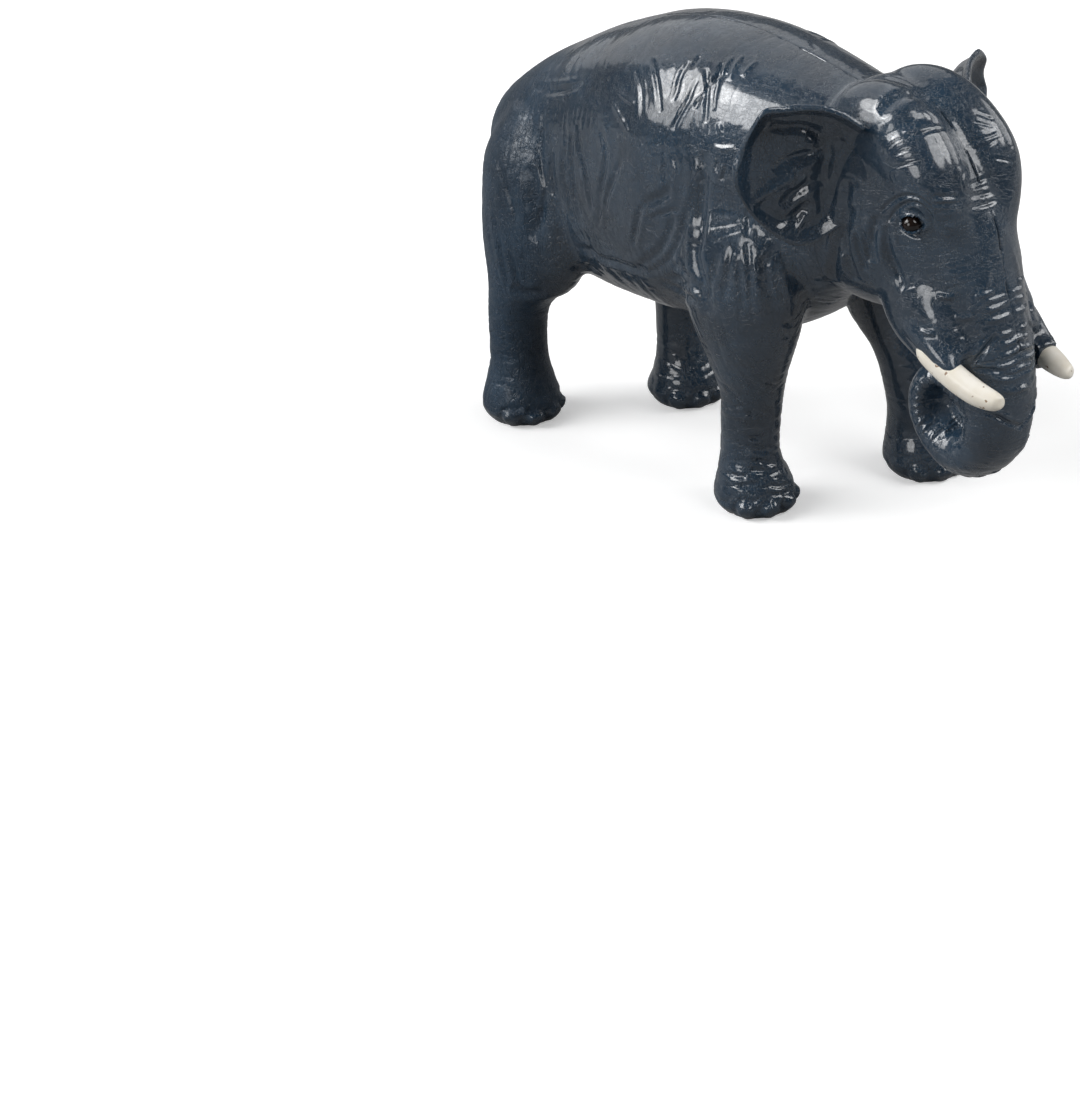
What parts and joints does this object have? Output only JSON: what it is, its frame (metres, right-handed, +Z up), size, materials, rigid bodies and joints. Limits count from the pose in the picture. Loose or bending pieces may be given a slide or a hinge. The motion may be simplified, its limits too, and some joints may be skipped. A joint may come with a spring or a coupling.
{
  "type": "toy elephant figure",
  "caption": "Standing toy elephant figure with a hollow body, domed head, coiled trunk, tusks, spread ears and flat soles, for pretend play.",
  "frame": {"origin": "middle of the bounding box's base, on the surface that the soles stand on", "axes": "+X towards the head, +Y the animal's left, +Z up"},
  "size_m": [0.1689, 0.0771, 0.1077],
  "materials": {
    "blue_grey_vinyl": "glossy moulded vinyl with a wrinkled skin texture",
    "dark_grey_vinyl": "satin moulded vinyl",
    "ivory_vinyl": "satin ivory-coloured moulded vinyl",
    "black_gloss": "glossy black"
  },
  "bodies": {
    "root": {"body_shell_left": "blue_grey_vinyl", "body_shell_right": "blue_grey_vinyl", "head_shell_left": "blue_grey_vinyl", "head_shell_right": "blue_grey_vinyl", "trunk": "blue_grey_vinyl", "ear_left": "blue_grey_vinyl", "ear_right": "blue_grey_vinyl", "tail": "blue_grey_vinyl", "tusk_left": "ivory_vinyl", "tusk_right": "ivory_vinyl", "eye_left": "black_gloss", "eye_right": "black_gloss", "sole_front_left": "dark_grey_vinyl", "sole_front_right": "dark_grey_vinyl", "sole_rear_left": "dark_grey_vinyl", "sole_rear_right": "dark_grey_vinyl"}
  },
  "joints": []
}
